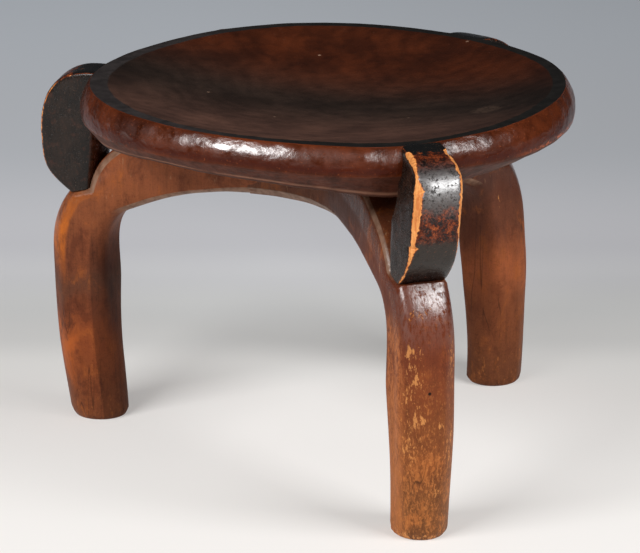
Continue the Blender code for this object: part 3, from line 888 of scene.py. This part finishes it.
def build_hub(knife_cuts, finish):
    """Three-armed block under the seat, its lower edges chamfered as the arms' are."""
    width = ARM_WIDTH - HUB_NARROWING
    plan, inset = hub_plan(width), hub_plan(width - 2.0 * ARM_CHAMFER)
    low, high = hub_underside() + HUB_LIFT, seat_underside() + HUB_OVERLAP
    levels = [(inset + (plan - inset) * share, low + ARM_CHAMFER * share)
              for share in np.linspace(0.0, 1.0, HUB_CHAMFER_RINGS)]
    levels += [(plan, height) for height in np.linspace(low + ARM_CHAMFER, high, HUB_WALL_RINGS)[1:]]
    rings = np.stack([np.column_stack([level, np.full(len(plan), height)]) for level, height in levels]) + AXIS
    steps = np.arange(len(rings))[:, None]
    chamfered = steps < HUB_CHAMFER_RINGS
    marks = {
        "facing": np.where(chamfered, -0.7, 0.0),
        "on_cut": np.where((steps > 0) & chamfered, 0.1, -0.1),
        "run": 1.0,
        "cut_share": 1.0,
    }
    hub = loft("carved_hub", rings, marks)
    run_tree(hub, knife_cuts, material=finish, **LEG_CUTS)
    return hub


class Finish(Nodes):
    """Shader tree of one finish."""

    def __init__(self, name):
        self.material = bpy.data.materials.new(name)
        self.material.use_nodes = True
        super().__init__(self.material.node_tree)
        self.shader = self.tree.nodes["Principled BSDF"]
        self.place = self.out("ShaderNodeTexCoord", "Object")

    def mark(self, name):
        return self.out("ShaderNodeAttribute", "Fac", attribute_name=name)

    def height(self):
        return self.out("ShaderNodeSeparateXYZ", "Z", {0: self.place})

    def reach(self, way):
        """Metres from the seat's axis, measured one way."""
        return self.place.vector("SUBTRACT", tuple(AXIS)).vector("DOT_PRODUCT", way)

    def nearness(self):
        """Metres from the seat's axis towards the side that the camera and the left lamp are on."""
        right, towards = camera_frame()
        return self.reach(towards * math.cos(DISH_TURN) - right * math.sin(DISH_TURN))

    def spot(self, centre, radius, seen_along):
        """Round spot, 1 inside half its radius; it runs on unchanged the way that it is seen along."""
        away = self.place.vector("SUBTRACT", centre).vector("MULTIPLY", seen_along)
        return away.vector("LENGTH").ramp(radius, radius * 0.5)

    def noise(self, fineness, detail=2.0, roughness=0.5, distortion=0.0, place=None):
        """Even noise of 0 to 1; fineness is in waves per metre, one number or one for each axis."""
        spread = (fineness,) * 3 if isinstance(fineness, float) else fineness
        inputs = {"Vector": (place or self.place).vector("MULTIPLY", spread), "Scale": 1.0, "Detail": detail,
                  "Roughness": roughness, "Distortion": distortion}
        return self.out("ShaderNodeTexNoise", "Fac", inputs)

    def fibres(self):
        return self.noise((700.0, 700.0, 18.0), 3.0, 0.6)

    def year_rings(self):
        """Rings round the pith, with the wander of a grown log."""
        from_pith = self.place.vector("SUBTRACT", PITH).vector("MULTIPLY", (1.0, 1.0, 0.0))
        wander = self.noise((16.0, 16.0, 5.0), 3.0)
        return (from_pith.vector("LENGTH") * 480.0 + wander * 30.0).math("SINE") * 0.5 + 0.5

    def scraped(self, size):
        """Small hollow scrapes that meet in low ridges."""
        waves = {"Vector": self.place, "Scale": 0.4 / size, "Detail": 2.0}
        wander = self.out("ShaderNodeTexNoise", "Color", waves).vector("MULTIPLY", (2.0 * size,) * 3)
        bent = self.place.vector("ADD", wander).vector("MULTIPLY", (0.55 / size, 0.55 / size, 1.6 / size))
        cells = {"Vector": bent, "Scale": 1.0, "Randomness": 1.0}
        return self.out("ShaderNodeTexVoronoi", "Distance", cells, feature="F1")

    def scratches(self, turn, amount):
        """Fine scratches that run one way; amount is the share of the surface they cover."""
        inputs = {"Vector": self.place, "Rotation": turn}
        turned = self.out("ShaderNodeVectorRotate", "Vector", inputs, rotation_type="EULER_XYZ")
        lines = self.noise((70.0, 1700.0, 1700.0), 1.0, place=turned)
        return lines.ramp(0.74 - 0.2 * amount, 0.80 - 0.2 * amount)

    def surface(self, colour, gloss, roughness, bump, bump_height, wax, wax_roughness, wax_index):
        """Finish the shader; wax is the share of 0 to 1 to which a polished coat covers the wood."""
        values = {
            "Base Color": colour, "Specular IOR Level": gloss, "Roughness": roughness, "Coat Weight": wax,
            "Coat Roughness": wax_roughness, "Coat IOR": wax_index,
        }
        for name, share in (("Normal", 1.0), ("Coat Normal", WAX_FILL)):
            relief = {"Height": bump, "Strength": 1.0, "Distance": bump_height * share}
            values[name] = self.out("ShaderNodeBump", "Normal", relief)
        for name, value in values.items():
            self.feed(self.shader.inputs[name], value)
        return self.material


def seat_finish():
    finish = Finish("waxed_seat")
    along = finish.mark("along")
    cloud = finish.noise(24.0, 4.0, 0.6)
    mottle = finish.noise(130.0, 5.0, 0.65)
    fine = finish.noise(560.0, 3.0, 0.6)
    grit = finish.noise(1300.0, 2.0, 0.6)
    inside = along + finish.mark("band_width") + (mottle - 0.5) * 0.002
    on_band = inside.ramp(-0.0004, 0.0004)
    on_rim = along.ramp(-0.0005, 0.0005)
    pale_side = finish.reach(PALE_BAND_WAY)

    nearness, clouded = finish.nearness(), cloud.ramp(0.34, 0.66)
    back, middle, near = (finish.mix(clouded, *tones) for tones in DISH_TONES)
    # The dish greys and pales towards the camera's side: a painted reflection
    dish = back.blend(nearness.ramp(-0.080, 0.0), middle).blend(nearness.ramp(0.0, 0.09), near)
    dish = dish.shade(finish.year_rings().ramp(0.2, 0.9), 0.14).shade(mottle.ramp(0.45, 0.7), 0.25)
    dish = dish.shade(inside.ramp(-0.02, 0.0), 0.2).shade(pale_side.ramp(-0.02, -0.11), 0.25)
    dish = dish.blend(fine.ramp(0.66, 0.78) * 0.3, (112, 78, 60))
    scratch = finish.scratches((0.0, 0.0, 0.6), 0.2) * cloud.ramp(0.45, 0.6)
    dish = dish.blend(scratch * 0.25, (120, 88, 70))
    broken = fine.ramp(0.3, 0.6)
    for x, y, radius, strength in SEAT_MARKS:
        mark = finish.spot((AXIS[0] + x, AXIS[1] + y, 0.0), radius, (1.0, 1.0, 0.0))
        dish = dish.blend(mark * (broken * strength), (150, 120, 100))

    rim = finish.mix(cloud.ramp(0.35, 0.65), (62, 25, 10), (94, 42, 19)).shade(mottle.ramp(0.42, 0.7), 0.4)
    rim = rim.blend(fine.ramp(0.55, 0.7) * 0.45, (40, 16, 10))
    dark_stripe = along.hump(0.0080, 0.0140, 0.0168)
    rim = rim.blend(dark_stripe * 0.75, (58, 17, 7))
    flecks = (fine * 0.6 + grit * 0.4).ramp(0.58, 0.66)
    rim = rim.blend(flecks * 0.4, (150, 76, 40))
    rubbed = along.hump(0.0140, 0.0161, 0.0174) * finish.reach(WORN_RIDGE_WAY).ramp(0.124, 0.137)
    rim = rim.blend(rubbed * (mottle * 0.6 + fine * 0.4).ramp(0.44, 0.56), (176, 84, 40))
    rim = rim.shade(pale_side.ramp(-0.105, -0.138), 0.3)
    below_ridge = along.ramp(0.0162, 0.0170)
    rim = rim.blend(below_ridge, finish.mix(mottle.ramp(0.35, 0.65), (84, 44, 30), (60, 30, 19)))
    # Pale line along the rim's lower edge: a painted highlight
    painted_edge_highlight = along.hump(0.0262, 0.0282, 0.0296)
    rim = rim.blend(painted_edge_highlight * cloud.ramp(0.3, 0.55), (132, 92, 72))
    underneath = along.ramp(0.0292, 0.0306)
    rim = rim.blend(underneath, (70, 40, 28))
    worn_edge = along.hump(-0.0004, 0.0002, 0.0008)
    rim = rim.blend(worn_edge * (mottle.ramp(0.46, 0.62) * 0.45), (116, 54, 32))

    # The band pales towards one side with a painted reflection
    band = finish.mix(pale_side.ramp(0.0, 0.11), (28, 26, 24), (50, 45, 44)).shade(mottle.ramp(0.3, 0.7), 0.5)
    colour = dish.blend(on_band, band).blend(along.ramp(-0.0002, 0.0003), rim)
    roughness = mottle * 0.16 + grit * 0.10 + on_rim * -0.36 + below_ridge * 0.3 + on_band * 0.08 + 0.36
    bump = grit * 0.08 + fine * 0.22 + mottle * 0.42 + finish.scraped(0.0042) * (on_rim * 0.42)
    wax = along.hump(0.0, 0.006, 0.0135) * mottle.ramp(0.68, 0.42)
    wax = wax * (finish.reach(MOST_WAXED_WAY).ramp(0.095, 0.132) * 0.65 + 0.35)
    wax = wax * finish.reach(WAXED_WAY).ramp(0.050, 0.110)
    return finish.surface(colour, gloss=0.11, roughness=roughness, bump=bump, bump_height=0.0006,
                          wax=wax, wax_roughness=0.26, wax_index=2.3)


def leg_finish(side):
    """Finish of a leg, or of the hub."""
    finish = Finish("waxed_leg_" + side)
    height, facing, run = finish.height(), finish.mark("facing"), finish.mark("run")
    cloud = finish.noise((34.0, 34.0, 15.0), 4.0, 0.6)
    mottle = finish.noise((190.0, 190.0, 85.0), 4.0, 0.65)
    fine = finish.noise((620.0, 620.0, 280.0), 3.0, 0.6)
    grit = finish.noise((1500.0, 1500.0, 800.0), 2.0, 0.6)
    patch = finish.noise((80.0, 80.0, 52.0), 6.0, 0.7, 0.4)
    wrinkles = finish.noise((240.0, 240.0, 950.0), 3.0, 0.6, 0.6)
    streaks = finish.noise((520.0, 520.0, 150.0), 4.0, 0.7, 0.4)
    fibres = finish.fibres()
    place = height + (cloud - 0.5) * 0.05
    colour = place.tones(LEG_TONES[side], 0.2).shade(cloud.ramp(0.45, 0.72), 0.12)
    colour = colour.blend(patch.ramp(0.49, 0.64) * PATCH_DEPTHS[side], (76, 33, 18))
    colour = colour.blend(patch.ramp(0.47, 0.32) * 0.4, (166, 90, 38))
    colour = colour.shade(wrinkles.ramp(0.52, 0.7), 0.14).shade(finish.year_rings(), 0.05)
    colour = colour.shade(fibres.ramp(0.45, 0.72), 0.12).shade(mottle.ramp(0.5, 0.72), 0.22)
    colour = colour.shade(grit.ramp(0.55, 0.7), 0.25)

    torn = streaks * 0.5 + fine * 0.3 + grit * 0.2
    low, high = WEAR[side]
    flecks = torn - height.ramp(low, high) * 0.17 + (0.5 - patch) * 0.35
    colour = colour.blend(flecks.ramp(0.47, 0.57) * 0.5, (186, 112, 56))
    specks = finish.noise((850.0, 850.0, 380.0), 3.0, 0.65)
    speck_share = height.ramp(high - 0.02, low) * SPECK_SHARES[side]
    colour = colour.blend(specks.ramp(0.54, 0.63) * speck_share, (196, 122, 64))
    colour = colour.blend(specks.ramp(0.40, 0.32) * (speck_share * 0.5), (84, 40, 20))
    bare = finish.mark("bare")
    worn = (bare * 0.17 + torn).ramp(0.60, 0.67) * bare.ramp(0.0, 0.2)
    colour = colour.blend(worn * 0.7, (204, 138, 78))
    if side == "left":
        # Darker inner face of the left leg: painted shade
        painted_inner_shade = facing.ramp(-0.44, -0.50) * run.ramp(0.62, 0.52)
        colour = colour.shade(painted_inner_shade, 0.4)
        glow = facing.ramp(-0.2, 0.5) * place.hump(0.012, 0.052, 0.080)
        colour = colour.blend(glow * patch.ramp(0.62, 0.36), (166, 84, 34))
        # Brighter orange on the left leg's outer front corner at the shoulder: a painted highlight
        shoulder = facing.ramp(0.32, 0.44) * finish.mark("flank").ramp(0.0, 0.3) * place.hump(0.092, 0.122, 0.156)
        colour = colour.blend(shoulder * patch.ramp(0.75, 0.35), (186, 98, 28))
    if side == "front":
        rubbed = finish.mark("flank").ramp(-0.74, -0.92) * height.ramp(0.135, 0.115)
        colour = colour.blend(rubbed * torn.ramp(0.60, 0.40), (172, 102, 56))
        wormhole = finish.spot(WORMHOLE, 0.0012, (1.0, 0.0, 1.0)) * facing.ramp(0.3, 0.5)
        colour = colour.blend(wormhole, (20, 10, 6))
    along_grain = finish.noise((120.0, 120.0, 4.0), 1.0)
    crack = (along_grain - 0.5).math("ABSOLUTE").ramp(0.011, 0.002)
    crack = crack * (cloud.ramp(0.46, 0.56) * height.ramp(0.125, 0.105))
    colour = colour.shade(crack, 0.45)
    tan = finish.noise((420.0, 420.0, 130.0), 2.0).ramp(0.66, 0.74) * height.ramp(0.12, 0.15)
    colour = colour.blend(tan * 0.35, (160, 120, 88))
    if side != "hub":
        under_arm = facing.ramp(-0.80, -0.94) * run.ramp(0.74, 0.97)
        colour = colour.blend(under_arm, finish.mix(mottle.ramp(0.45, 0.7), (98, 58, 39), (72, 42, 28)))
    on_edge = finish.mark("on_cut").ramp(0.0, 0.012) * run.ramp(0.66, 0.72)
    pale = finish.mix(mottle.ramp(0.4, 0.65), (134, 106, 88), (104, 76, 60))
    colour = colour.blend(on_edge * 0.85, pale)
    waxed = height.ramp(0.10, 0.135)
    roughness = mottle * 0.2 + grit * 0.15 + waxed * -0.20 + facing.ramp(0.3, 0.0) * 0.18 + 0.28
    bump = grit * 0.10 + fine * 0.25 + mottle * 0.45 + fibres * 0.25 + wrinkles * 0.25 + crack * -0.2
    wax = height.hump(0.108, 0.140, 0.163) * facing.ramp(0.55, 0.75) * streaks.ramp(0.64, 0.44)
    return finish.surface(colour, gloss=0.14, roughness=roughness, bump=bump, bump_height=0.0004,
                          wax=wax, wax_roughness=0.31, wax_index=1.85)


def lug_finish(side):
    finish = Finish("charred_lug_" + side)
    run, facing = finish.mark("run"), finish.mark("facing")
    cloud = finish.noise(60.0, 4.0, 0.6)
    mottle = finish.noise(240.0, 4.0, 0.65)
    fine = finish.noise(700.0, 3.0, 0.6)
    grit = finish.noise(1500.0, 2.0, 0.6)
    fibres = finish.fibres()
    flat = finish.mix(cloud.ramp(0.35, 0.7), (20, 14, 11), (38, 27, 21))
    flat = flat.blend(mottle.ramp(0.55, 0.68) * 0.55, (66, 36, 25)).shade(fibres.ramp(0.42, 0.65), 0.3)
    hollow = finish.mix(mottle.ramp(0.4, 0.65), (68, 36, 25), (42, 24, 17))
    flat = flat.blend(facing.ramp(-0.90, -0.96), hollow)

    place = run + (mottle - 0.5) * 0.14
    grains = mottle * 0.44 + fine * 0.36 + grit * 0.20
    high = place.ramp(0.135, 0.165) * place.ramp(0.32, 0.27)
    low = place.ramp(0.50, 0.55) * place.ramp(0.71, 0.66)
    outer = place.tones(LUG_TONES[side], 1.0).blend(high + low, grains.tones(RED_WOOD, 1.0))
    pits = grains.ramp(0.46, 0.40)
    outer = outer.blend(pits * 0.7, (12, 9, 8))
    stray = grains.ramp(0.58, 0.66) * run.ramp(0.16, 0.2)
    outer = outer.blend(stray * 0.5, (140, 66, 30))
    on_face = facing.ramp(0.93, 0.97)
    colour = flat.blend(on_face, outer)

    chip = finish.mark("on_cut") + ((mottle - 0.5) * 0.07 + (fine - 0.5) * 0.06)
    scorched, chipped = chip.ramp(-0.004, 0.018), chip.ramp(0.022, 0.030)
    colour = colour.blend(scorched * 0.8, (112, 50, 20))
    colour = colour.blend(chipped, finish.mix(fibres.ramp(0.35, 0.65), (226, 156, 88), (190, 110, 52)))
    scratch = finish.scratches((0.5, 0.9, 0.2), 0.35)
    colour = colour.blend(scratch * 0.3, (120, 96, 80))
    roughness = mottle * 0.16 + grit * 0.10 + chipped * 0.35 + pits * 0.12 + 0.11
    bump = grit * 0.03 + fine * 0.13 + mottle * 0.45 + fibres * 0.12 + pits * -0.3 + scratch * -0.2
    polished = place.hump(0.19, 0.38, 0.60) * on_face * (chipped + pits * 0.5).ramp(0.9, 0.1)
    polished = polished * (mottle * 0.4 + fine * 0.4 + grit * 0.2).ramp(0.38, 0.52)
    return finish.surface(colour, gloss=LUG_GLOSS[side], roughness=roughness, bump=bump, bump_height=0.00035,
                          wax=polished * LUG_WAX[side], wax_roughness=0.43, wax_index=2.9)


def build_stage():
    """Pale floor with painted shade that fades it to grey behind the stool and dims it at the right."""
    mesh = bpy.data.meshes.new("studio_floor")
    corners = ((-1, -1), (1, -1), (1, 1), (-1, 1))
    mesh.from_pydata([(x * FLOOR_REACH, y * FLOOR_REACH, FLOOR_HEIGHT) for x, y in corners], [], [(0, 1, 2, 3)])
    floor = add_piece(mesh)
    finish = Finish("studio_floor")
    right, towards = camera_frame()
    depth = finish.place.vector("DOT_PRODUCT", -towards)
    across = finish.place.vector("DOT_PRODUCT", right)
    # Painted shade: the floor darkens at the right, behind the stool
    painted_floor_shade = across.ramp(-0.2, 0.35) * depth.ramp(0.0, 0.5) * FLOOR_DIMMING
    lit, seen = (
        (depth + FLOOR_LINE).tones(stops, FLOOR_SPAN).shade(painted_floor_shade, 1.0) for stops in (FLOOR_TONES, BACKDROP_TONES)
    )
    finish.feed(finish.shader.inputs["Base Color"], lit)
    finish.feed(finish.shader.inputs["Roughness"], 0.8)
    glow = finish.out("ShaderNodeEmission", 0, {"Color": seen, "Strength": 1.0})
    rays = finish.add("ShaderNodeLightPath").outputs
    to_camera, mirrored, through = (
        Value(finish, rays[name]) for name in ("Is Camera Ray", "Is Glossy Ray", "Is Transmission Ray")
    )
    share = to_camera.math("MAXIMUM", mirrored.math("MAXIMUM", through)) * BACKDROP_SHARE
    paint = Value(finish, finish.shader.outputs[0])
    both = finish.out("ShaderNodeMixShader", 0, {0: share, 1: paint, 2: glow})
    finish.feed(finish.tree.nodes["Material Output"].inputs["Surface"], both)
    floor.data.materials.append(finish.material)


def build_camera():
    _, towards = camera_frame()
    data = bpy.data.cameras.new("photo_camera")
    data.sensor_width = SENSOR_WIDTH
    data.lens = FOCAL_PIXELS * SENSOR_WIDTH / PICTURE_WIDTH
    camera = bpy.data.objects.new("photo_camera", data)
    camera.location = Vector(AXIS) + towards * CAMERA_DISTANCE + Vector((0.0, 0.0, SEAT_HEIGHT + CAMERA_RISE))
    camera.rotation_euler = (math.pi / 2.0 - CAMERA_PITCH, 0.0, CAMERA_YAW - VIEW_BEARING)
    bpy.context.scene.collection.objects.link(camera)
    bpy.context.scene.camera = camera


def softbox(name, to_right, rise, distance, width, height, power):
    """Soft lamp aimed at the seat; to_right and rise are degrees from the camera's side of the stool."""
    right, towards = camera_frame()
    turn, lift = math.radians(to_right), math.radians(rise)
    level = right * math.sin(turn) + towards * math.cos(turn)
    way = level * math.cos(lift) + Vector((0.0, 0.0, math.sin(lift)))
    data = bpy.data.lights.new(name, "AREA")
    data.shape = "RECTANGLE"
    data.size, data.size_y = width, height
    data.energy = power
    lamp = bpy.data.objects.new(name, data)
    lamp.location = Vector(AXIS) + LAMP_AIM + way * distance
    lamp.rotation_euler = (-way).to_track_quat("-Z", "Y").to_euler()
    bpy.context.scene.collection.objects.link(lamp)


def build_light():
    world = bpy.data.worlds.new("studio_room")
    world.use_nodes = True
    bpy.context.scene.world = world
    room = Nodes(world.node_tree)
    _, towards = camera_frame()
    facing = room.out("ShaderNodeTexCoord", "Generated").vector("DOT_PRODUCT", towards)
    colour = room.mix(facing.ramp(-0.25, 0.55), *ROOM_TONES)
    room.feed(world.node_tree.nodes["Background"].inputs["Color"], colour)
    softbox("left_softbox", to_right=-46.0, rise=37.0, distance=2.15, width=1.15, height=0.75, power=39.0)
    softbox("right_softbox", to_right=56.0, rise=35.0, distance=2.15, width=1.15, height=0.80, power=37.0)
    bpy.context.scene.view_settings.view_transform = "Standard"


def dress(piece, node):
    """Let a finished piece stand for its plain solid."""
    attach(piece, "root")
    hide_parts(node)


def main():
    build_camera()
    build_light()
    build_stage()
    knife_cuts = knife_cut_tree()
    dress(build_seat(turned_tree(), knife_cuts, seat_finish()), "seat")
    dress(build_hub(knife_cuts, leg_finish("hub")), "hub")
    for side in BEARINGS:
        dress(build_leg(side, knife_cuts, leg_finish(side)), "leg_" + side)
        dress(build_lug(side, knife_cuts, lug_finish(side)), "lug_" + side)


main()
